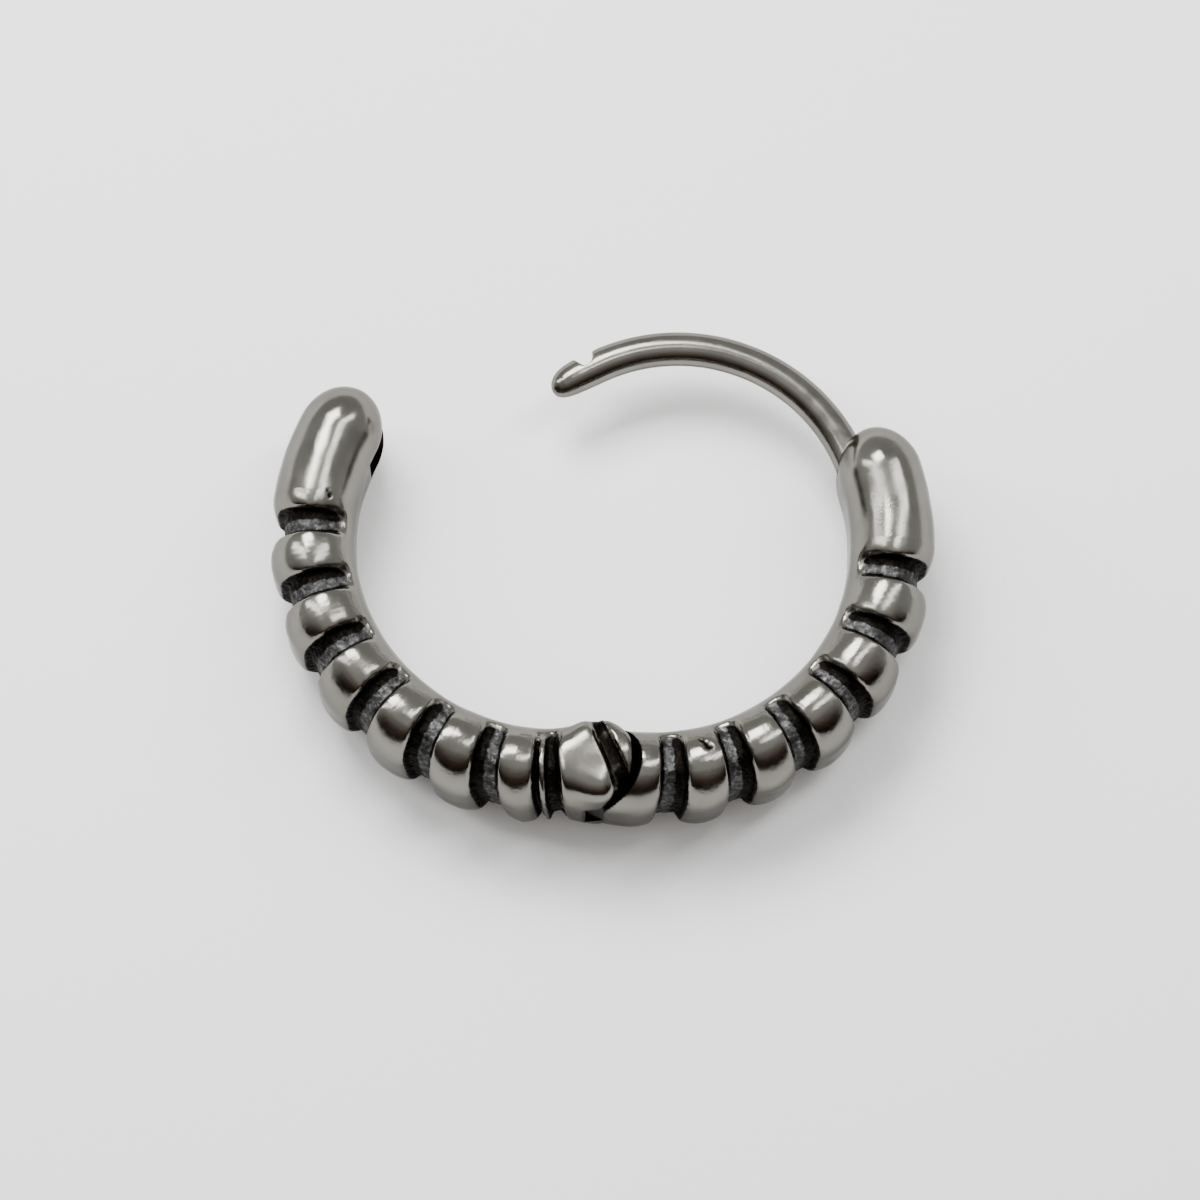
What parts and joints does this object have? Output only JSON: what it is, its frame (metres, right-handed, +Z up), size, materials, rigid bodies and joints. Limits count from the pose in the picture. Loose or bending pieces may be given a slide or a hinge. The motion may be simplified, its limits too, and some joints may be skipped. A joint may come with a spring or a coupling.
{
  "type": "hinged hoop earring",
  "caption": "Small hinged hoop earring in antiqued polished steel, ribbed all round, standing open with a bent ear wire that clicks into a slotted barrel.",
  "frame": {"origin": "on the surface the earring lies on, under the middle of its bounding box", "axes": "+Z up along the hoop's axis, +X across the hoop towards the half with the ear wire, +Y from the hinge towards the ear wire"},
  "size_m": [0.0192, 0.0148, 0.0042],
  "materials": {
    "antiqued_steel": "polished ribs with dark antiqued grooves",
    "polished_steel": "polished"
  },
  "bodies": {
    "wire_side": {"wire_half": "antiqued_steel", "ear_wire": "polished_steel"},
    "catch_side": {"catch_half": "antiqued_steel", "hinge_pin": "polished_steel"}
  },
  "joints": [
    {"name": "hinge", "type": "hinge", "parent": "wire_side", "child": "catch_side", "pos_m": [-0.00023, -0.00597, 0.0021], "axis": [0, 0, 1], "range_deg": [-29, 20]}
  ]
}
